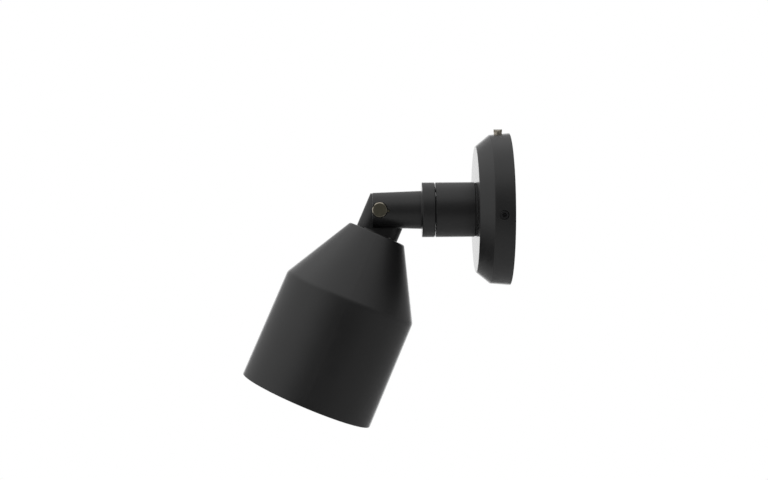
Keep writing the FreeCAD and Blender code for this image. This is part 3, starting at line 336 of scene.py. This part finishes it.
def earth_sheath(name, green, yellow, centre):
    """Green insulation with a yellow stripe that winds along it."""
    material = new_material(name)
    shader = Shader(material)
    x, y, z = shader.parts(shader.mapped(centre))
    stripe = ((x * 900.0 + z * 1500.0 + y * 1300.0).sine()).between(-0.1, 0.1)
    skin = shader.noise(1800.0, 2.0, 0.5)
    shader.surface(
        Base_Color=shader.blend(stripe, rgba(green), rgba(yellow)),
        Roughness=0.42 + skin * 0.1,
        Normal=shader.bump(skin, 0.2, 0.00008),
    )
    return material


def mirrored_glass(name, colour):
    """Glass silvered from behind: a bright mirror under a clear coat, a little wavy."""
    material = new_material(name)
    shader = Shader(material)
    wave = shader.noise(70.0, 2.0, 0.5)
    shader.surface(
        Base_Color=shader.blend(wave, rgba(colour, 0.9), rgba(colour)),
        Metallic=1.0,
        Roughness=0.14 + wave * 0.08,
        Normal=shader.bump(wave, 0.15, 0.0004),
        Coat_Weight=0.6,
    )
    return material


def frosted_glass(name, colour, centre):
    """Etched lamp front: milky, a little clearer towards the edge, with a fine grain."""
    material = new_material(name)
    shader = Shader(material)
    etch = shader.noise(2600.0, 3.0, 0.6)
    cloud = shader.noise(45.0, 3.0, 0.5)
    x, y, z = shader.parts(shader.mapped(centre))
    reach = (x * x + y * y + z * z) ** 0.5
    edge = reach.between(20 * MM, 31 * MM)
    base = shader.blend(edge * 0.5 + cloud * 0.3, rgba(colour), rgba(colour, 0.84))
    shader.surface(
        Base_Color=base,
        Roughness=0.5 + etch * 0.12,
        Normal=shader.bump(etch, 0.25, 0.00012),
        Coat_Weight=0.25,
    )
    return material


# ---------------------------------------------------------------- settings


class FinishSettings(bpy.types.PropertyGroup):
    """Colours and sheens that a user may change."""

    coat_colour: FloatVectorProperty(
        name="Powder coat",
        description="Colour of the powder coat on the rose, stem, arm, neck and shade",
        subtype="COLOR",
        size=3,
        min=0.0,
        max=1.0,
        default=(0.0078, 0.0078, 0.0080),
    )
    coat_roughness: FloatProperty(
        name="Coat roughness",
        description="How satin the powder coat is; 0 is a mirror",
        subtype="FACTOR",
        min=0.0,
        max=1.0,
        default=0.38,
    )
    brass_colour: FloatVectorProperty(
        name="Brass",
        description="Colour of the screw that stands out of the rose's top",
        subtype="COLOR",
        size=3,
        min=0.0,
        max=1.0,
        default=(0.52, 0.48, 0.40),
    )
    pin_colour: FloatVectorProperty(
        name="Pin",
        description="Colour of the darkened pivot pin",
        subtype="COLOR",
        size=3,
        min=0.0,
        max=1.0,
        default=(0.155, 0.145, 0.108),
    )
    # Pale colour painted on the pin head's chamfer as a highlight.
    pin_highlight_colour: FloatVectorProperty(
        name="Pin's painted highlight",
        description="Colour of the chamfer round the pivot pin's head",
        subtype="COLOR",
        size=3,
        min=0.0,
        max=1.0,
        default=(0.62, 0.57, 0.47),
    )
    steel_colour: FloatVectorProperty(
        name="Plated steel",
        description="Colour of the zinc plated plate, nuts and washers",
        subtype="COLOR",
        size=3,
        min=0.0,
        max=1.0,
        default=(0.56, 0.57, 0.58),
    )


class KnurlSettings(bpy.types.PropertyGroup):
    """Ribs round the brass screw's head."""

    ribs: IntProperty(
        name="Ribs",
        description="Number of ribs round the head",
        min=8,
        max=60,
        default=26,
    )
    height: FloatProperty(
        name="Rib height",
        description="Length of a rib along the screw",
        unit="LENGTH",
        subtype="DISTANCE",
        min=0.0005,
        max=0.004,
        default=0.0021,
    )
    depth: FloatProperty(
        name="Rib depth",
        description="How far a rib stands out of the head's side",
        unit="LENGTH",
        subtype="DISTANCE",
        min=0.00002,
        max=0.0005,
        default=0.00018,
    )


class StudioSettings(bpy.types.PropertyGroup):
    """Camera and light."""

    distance: FloatProperty(
        name="Camera distance",
        description="From the point looked at to the camera",
        unit="LENGTH",
        subtype="DISTANCE",
        min=0.2,
        max=5.0,
        default=1.1315,
    )
    focal: FloatProperty(
        name="Focal length",
        description="Focal length on a 36 mm wide sensor",
        unit="CAMERA",
        min=10.0,
        max=300.0,
        default=72.66,
    )
    azimuth: FloatProperty(
        name="Yaw",
        description="Turn of the camera away from square to the arm, towards the shade",
        unit="ROTATION",
        subtype="ANGLE",
        default=math.radians(0.72),
    )
    pitch: FloatProperty(
        name="Pitch",
        description="Height of the camera above the level of its target",
        unit="ROTATION",
        subtype="ANGLE",
        default=math.radians(5.35),
    )
    roll: FloatProperty(
        name="Roll",
        description="Turn of the camera about its line of sight",
        unit="ROTATION",
        subtype="ANGLE",
        default=math.radians(-0.45),
    )


# ---------------------------------------------------------------- finishing the CAD nodes


def settings():
    return bpy.context.scene.wall_light_finish


class WALLLIGHT_OT_coat(bpy.types.Operator):
    """Powder coats the rose, the stem, the arm, the neck and the shade"""

    bl_idname = "wall_light.coat"
    bl_label = "Powder Coat"

    def execute(self, context):
        colour, rough = tuple(settings().coat_colour), settings().coat_roughness
        cast = powder_coat("satin_coat_on_castings", colour, 1.1, rough)
        sheet = powder_coat("satin_coat_on_sheet", colour, 0.8, rough)
        for node in ("stem", "swivel_arm", "lamp_neck"):
            dress(node, cast)
        for node in ("wall_rose", "shade"):
            dress(node, sheet)
        return {"FINISHED"}


class WALLLIGHT_OT_steel(bpy.types.Operator):
    """Plates the wall plate, nuts and washers, and blackens the rim screws"""

    bl_idname = "wall_light.steel"
    bl_label = "Steel Pieces"

    ALONG_ARM = (
        "wall_plate",
        "stem_lock_washer",
        "stem_ring_nut",
        "swivel_stop_pin",
        "swivel_washer",
        "swivel_disc_spring",
        "swivel_nut",
    )
    ALONG_PIN = ("tilt_lock_nut", "tilt_spring_washer")
    ALONG_LAMP = ("shade_washer", "shade_nut", "holder_nipple")

    def execute(self, context):
        colour = tuple(settings().steel_colour)
        groups = ((self.ALONG_ARM, "Y"), (self.ALONG_PIN, "X"), (self.ALONG_LAMP, "Z"))
        for group, axis in groups:
            for node in group:
                centre = (0, 0, 0) if axis == "Y" else tuple(middle(node))
                dress(node, plated_steel("plated_" + node, colour, centre, axis))
        black = black_oxide("blackened_screw", (0.02, 0.02, 0.021))
        for node in ("rim_screw_near", "rim_screw_far"):
            dress(node, black)
        return {"FINISHED"}


class WALLLIGHT_OT_brass(bpy.types.Operator):
    """Finishes the brass screws and contacts and the darkened pivot pin"""

    bl_idname = "wall_light.brass"
    bl_label = "Brass Pieces"

    BRIGHT = (
        "earth_screw",
        "terminal_screws",
        "lamp_screw_cap",
        "holder_thread_shell",
        "holder_centre_contact",
        "lamp_contact_tip",
    )

    def execute(self, context):
        dress("top_brass_screw", dull_brass("dull_brass", tuple(settings().brass_colour)))
        # The second colour is the painted highlight on the pin head's chamfer.
        colour, highlight_tint = tuple(settings().pin_colour), tuple(settings().pin_highlight_colour)
        dress("tilt_pin", darkened_pin("darkened_brass", colour, highlight_tint))
        clean = dull_brass("clean_brass", (0.72, 0.56, 0.3), 0.26, 0.25)
        for node in self.BRIGHT:
            dress(node, clean)
        return {"FINISHED"}


class WALLLIGHT_OT_moulded(bpy.types.Operator):
    """Finishes the rubber, plastic and ceramic pieces and the leads' insulation"""

    bl_idname = "wall_light.moulded"
    bl_label = "Moulded Pieces"

    def execute(self, context):
        dress("stem_gasket", moulded("gasket_rubber", (0.02, 0.02, 0.02), 0.75, 1200.0))
        dress("tilt_washer", moulded("nylon_washer", (0.03, 0.03, 0.03), 0.5))
        dress("terminal_block", moulded("terminal_plastic", (0.78, 0.77, 0.72), 0.38))
        phenolic = moulded("phenolic", (0.018, 0.017, 0.016), 0.25, 700.0, 0.00006, 0.3)
        for node in ("holder_cap", "holder_skirt"):
            dress(node, phenolic)
        glazed = moulded("glazed_ceramic", (0.84, 0.83, 0.79), 0.16, 260.0, 0.00008, 0.8)
        dress("holder_insert", glazed)
        brown, blue = (0.13, 0.05, 0.02), (0.03, 0.12, 0.42)
        for node, axis in (("rose_leads", "Z"), ("arm_leads", "Z"), ("lamp_leads", "Y")):
            sheath = lead_sheath("sheath_" + node, (brown, blue), axis, tuple(middle(node)))
            dress(node, sheath)
        green, yellow = (0.03, 0.3, 0.06), (0.8, 0.66, 0.05)
        dress("earth_lead", earth_sheath("sheath_earth", green, yellow, middle("earth_lead")))
        return {"FINISHED"}


class WALLLIGHT_OT_lamp(bpy.types.Operator):
    """Finishes the reflector lamp's silvered body and etched front"""

    bl_idname = "wall_light.lamp"
    bl_label = "Reflector Lamp"

    def execute(self, context):
        dress("lamp_flared_body", mirrored_glass("silvered_glass", (0.86, 0.86, 0.85)))
        front = frosted_glass("etched_glass", (0.86, 0.86, 0.83), tuple(middle("lamp_front_lens")))
        dress("lamp_front_lens", front)
        return {"FINISHED"}


# ---------------------------------------------------------------- added pieces


class Tree:
    """A Geometry Nodes tree under construction, with named inputs."""

    def __init__(self, name):
        self.tree = bpy.data.node_groups.new(name, "GeometryNodeTree")
        for way in ("INPUT", "OUTPUT"):
            self.tree.interface.new_socket("Geometry", in_out=way, socket_type="NodeSocketGeometry")
        self.enter = self.tree.nodes.new("NodeGroupInput")
        self.leave = self.tree.nodes.new("NodeGroupOutput")

    def number(self, name, kind):
        self.tree.interface.new_socket(name, in_out="INPUT", socket_type=kind)
        return self.enter.outputs[name]

    def add(self, kind, settings=None, values=None):
        node = self.tree.nodes.new(kind)
        for name, setting in (settings or {}).items():
            setattr(node, name, setting)
        for name, value in (values or {}).items():
            if isinstance(value, bpy.types.NodeSocket):
                self.tree.links.new(value, node.inputs[name])
            else:
                node.inputs[name].default_value = value
        return node

    def end(self, geometry, material):
        """Realizes the instances, sets the material and joins the output."""
        real = self.add("GeometryNodeRealizeInstances", None, {"Geometry": geometry})
        dressed = self.add(
            "GeometryNodeSetMaterial", None, {"Geometry": real.outputs[0], "Material": material}
        )
        self.tree.links.new(dressed.outputs[0], self.leave.inputs[0])


def rib_tree(material):
    """Upright ribs evenly round a circle in the XY plane."""
    tree = Tree("knurl_ribs")
    count = tree.number("Ribs", "NodeSocketInt")
    reach = tree.number("Radius", "NodeSocketFloat")
    height = tree.number("Height", "NodeSocketFloat")
    depth = tree.number("Depth", "NodeSocketFloat")
    circle = {"Vertices": count, "Radius": reach}
    ring = tree.add("GeometryNodeMeshCircle", {"fill_type": "NONE"}, circle)
    four_sided = {"Vertices": 4, "Side Segments": 1}
    rib = tree.add("GeometryNodeMeshCone", {"fill_type": "NGON"}, four_sided)
    tree.tree.links.new(depth, rib.inputs["Radius Top"])
    tree.tree.links.new(depth, rib.inputs["Radius Bottom"])
    tree.tree.links.new(height, rib.inputs["Depth"])
    outward = tree.add("GeometryNodeInputPosition")
    turn = tree.add(
        "FunctionNodeAlignRotationToVector", {"axis": "X"}, {"Vector": outward.outputs[0]}
    )
    spread = tree.add(
        "GeometryNodeInstanceOnPoints",
        None,
        {"Points": ring.outputs[0], "Instance": rib.outputs[0], "Rotation": turn.outputs[0]},
    )
    tree.end(spread.outputs[0], material)
    return tree.tree


def grow(name, tree, inputs, place):
    """A plain mesh object from a Geometry Nodes tree, at its place in the part's frame."""
    seed = bpy.data.objects.new(name + "_seed", bpy.data.meshes.new(name + "_seed"))
    bpy.context.scene.collection.objects.link(seed)
    modifier = seed.modifiers.new("grow", "NODES")
    modifier.node_group = tree
    entries = [item for item in tree.interface.items_tree if item.in_out == "INPUT"]
    sockets = {item.name: item.identifier for item in entries}
    for label, value in inputs.items():
        modifier[sockets[label]] = value
    seen = seed.evaluated_get(bpy.context.evaluated_depsgraph_get())
    mesh = bpy.data.meshes.new_from_object(seen)
    bpy.data.objects.remove(seed)
    mesh.transform(place)
    piece = bpy.data.objects.new(name, mesh)
    mesh.name = name
    bpy.context.scene.collection.objects.link(piece)
    return piece


class WALLLIGHT_OT_knurl(bpy.types.Operator):
    """Raises fine ribs round the head of the brass screw in the rose's top"""

    bl_idname = "wall_light.knurl"
    bl_label = "Knurled Screw Head"

    def execute(self, context):
        knurl = context.scene.wall_light_knurl
        low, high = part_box("top_brass_screw")
        centre, radius = (low + high) / 2, (high.x - low.x) / 2
        brass = bpy.data.materials["dull_brass"]
        level = high.z - KNURL_INSET - knurl.height / 2
        inputs = {
            "Ribs": knurl.ribs,
            "Radius": radius,
            "Height": knurl.height,
            "Depth": knurl.depth,
        }
        place = Matrix.Translation((centre.x, centre.y, level))
        piece = grow("top_screw_knurl", rib_tree(brass), inputs, place)
        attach(piece, "wall_part")
        return {"FINISHED"}


# ---------------------------------------------------------------- studio


def big_sheet(name, corners, material):
    mesh = bpy.data.meshes.new(name)
    mesh.from_pydata([tuple(corner) for corner in corners], [], [(0, 1, 2, 3)])
    mesh.materials.append(material)
    sheet = bpy.data.objects.new(name, mesh)
    bpy.context.scene.collection.objects.link(sheet)


def seen_white(shader, glossy):
    """How white a stage surface looks: fully to the camera and through glass, and as far as
    glossy says in a reflection."""
    rays = shader.add("ShaderNodeLightPath").outputs
    camera, shine = Value(shader, rays["Is Camera Ray"]), Value(shader, rays["Is Glossy Ray"])
    through = Value(shader, rays["Is Transmission Ray"])
    return (camera + shine * glossy + through).clamped()


def white_sheet(name, tone, glossy, glow):
    """Pale paper that reads as white and keeps a faint shadow."""
    material = new_material(name)
    shader = Shader(material)
    mottle = shader.noise(3.0, 3.0, 0.5)
    pale = shader.blend(mottle, rgba((tone, tone, tone), 0.97), rgba((tone, tone, tone)))
    diffuse = shader.add("ShaderNodeBsdfDiffuse", None, {"Color": pale})
    white = shader.add("ShaderNodeEmission", None, {"Color": (1, 1, 1, 1), "Strength": 1.0})
    factor = seen_white(shader, glossy) * glow
    sources = {0: factor, 1: diffuse.outputs[0], 2: white.outputs[0]}
    mix = shader.add("ShaderNodeMixShader", None, sources)
    shader.add("ShaderNodeOutputMaterial", None, (mix.outputs[0],))
    return material


def studio_world(context):
    """White for the camera; the light itself comes from the left and from above, and the
    camera's side is dim."""
    world = bpy.data.worlds.new("studio")
    context.scene.world = world
    shader = Shader(world)
    x, y, z = shader.parts(shader.add("ShaderNodeTexCoord").outputs["Generated"])
    behind = (0.0 - x).between(0.0, 0.5)
    left = (0.0 - y).between(0.1, 0.87).eased() * (1.0 - behind * 0.3)
    right = y.between(0.25, 0.95).eased()
    above = z.between(0.35, 0.92).eased()
    level = left * 0.68 + right * 0.22 + above * 0.8 + behind * 0.1 + 0.12
    light = shader.add("ShaderNodeBackground", None, {"Color": (1, 1, 1, 1), "Strength": level})
    white = shader.add("ShaderNodeBackground", None, {"Color": (1, 1, 1, 1), "Strength": 1.0})
    rays = shader.add("ShaderNodeLightPath").outputs
    camera = Value(shader, rays["Is Camera Ray"])
    through = Value(shader, rays["Is Transmission Ray"])
    sources = {0: (camera + through).clamped(), 1: light.outputs[0], 2: white.outputs[0]}
    mix = shader.add("ShaderNodeMixShader", None, sources)
    shader.add("ShaderNodeOutputWorld", None, (mix.outputs[0],))


def soft_light(name, place, aim, size, power):
    lamp = bpy.data.lights.new(name, "AREA")
    lamp.shape = "RECTANGLE"
    lamp.size, lamp.size_y = size
    lamp.energy = power
    item = bpy.data.objects.new(name, lamp)
    bpy.context.scene.collection.objects.link(item)
    item.location = place
    item.rotation_euler = (Vector(aim) - Vector(place)).to_track_quat("-Z", "Y").to_euler()
    item.visible_glossy = False


class WALLLIGHT_OT_studio(bpy.types.Operator):
    """Sets up the floor, the backdrop, the soft lights and the camera"""

    bl_idname = "wall_light.studio"
    bl_label = "Studio"

    TARGET = Vector((0.0, -91.2, -21.8)) * MM

    def execute(self, context):
        floor, side = -1.3, 4.0
        far, left, right, top = -2.2, -1.5, 1.3, 1.2
        square = ((-side, -side), (side, -side), (side, side), (-side, side))
        big_sheet(
            "floor",
            [(x, y, floor) for x, y in square],
            white_sheet("pale_floor", 0.5, 0.05, 0.98),
        )
        big_sheet(
            "backdrop",
            [(far, left, floor), (far, right, floor), (far, right, top), (far, left, top)],
            white_sheet("pale_backdrop", 0.85, 1.0, 1.0),
        )
        studio_world(context)
        aim = self.TARGET
        soft_light("left_softbox", (0.9, -1.35, 0.25), aim, (0.9, 1.4), 8.0)
        soft_light("top_softbox", (0.25, -0.1, 1.4), aim, (1.5, 1.0), 8.0)
        soft_light("front_fill", (1.5, 0.2, 0.3), aim, (1.2, 1.2), 4.0)
        self.place_camera(context)
        return {"FINISHED"}

    def place_camera(self, context):
        studio = context.scene.wall_light_studio
        yaw, pitch, roll = studio.azimuth, studio.pitch, studio.roll
        back = Vector(
            (
                math.cos(pitch) * math.cos(yaw),
                -math.cos(pitch) * math.sin(yaw),
                math.sin(pitch),
            )
        )
        right = (-back).cross(Vector((0, 0, 1))).normalized()
        up = right.cross(-back)
        tilted_right = right * math.cos(roll) + up * math.sin(roll)
        tilted_up = up * math.cos(roll) - right * math.sin(roll)
        camera = bpy.data.cameras.new("camera")
        camera.sensor_width = 36.0
        camera.lens = studio.focal
        item = bpy.data.objects.new("camera", camera)
        context.scene.collection.objects.link(item)
        turn = Matrix((tilted_right, tilted_up, back)).transposed().to_4x4()
        item.matrix_world = Matrix.Translation(self.TARGET + back * studio.distance) @ turn
        context.scene.camera = item


class WALLLIGHT_PT_panel(bpy.types.Panel):
    """Lists the steps and the settings"""

    bl_label = "Wall Light"
    bl_idname = "WALLLIGHT_PT_panel"
    bl_space_type = "VIEW_3D"
    bl_region_type = "UI"
    bl_category = "Wall Light"

    def draw(self, context):
        layout = self.layout
        for step in STEPS:
            layout.operator(step.bl_idname)
        for group in ("wall_light_finish", "wall_light_knurl", "wall_light_studio"):
            held = getattr(context.scene, group)
            for name in held.bl_rna.properties.keys():
                if name not in ("name", "rna_type"):
                    layout.prop(held, name)


STEPS = (
    WALLLIGHT_OT_coat,
    WALLLIGHT_OT_steel,
    WALLLIGHT_OT_brass,
    WALLLIGHT_OT_moulded,
    WALLLIGHT_OT_lamp,
    WALLLIGHT_OT_knurl,
    WALLLIGHT_OT_studio,
)
GROUPS = (FinishSettings, KnurlSettings, StudioSettings)
CLASSES = GROUPS + STEPS + (WALLLIGHT_PT_panel,)


def register():
    for item in CLASSES:
        bpy.utils.register_class(item)
    bpy.types.Scene.wall_light_finish = PointerProperty(type=FinishSettings)
    bpy.types.Scene.wall_light_knurl = PointerProperty(type=KnurlSettings)
    bpy.types.Scene.wall_light_studio = PointerProperty(type=StudioSettings)


def unregister():
    del bpy.types.Scene.wall_light_studio
    del bpy.types.Scene.wall_light_knurl
    del bpy.types.Scene.wall_light_finish
    for item in reversed(CLASSES):
        bpy.utils.unregister_class(item)


def main():
    register()
    bpy.context.scene.view_settings.view_transform = "Standard"
    for step in STEPS:
        group, name = step.bl_idname.split(".")
        getattr(getattr(bpy.ops, group), name)()


if __name__ == "__main__":
    main()
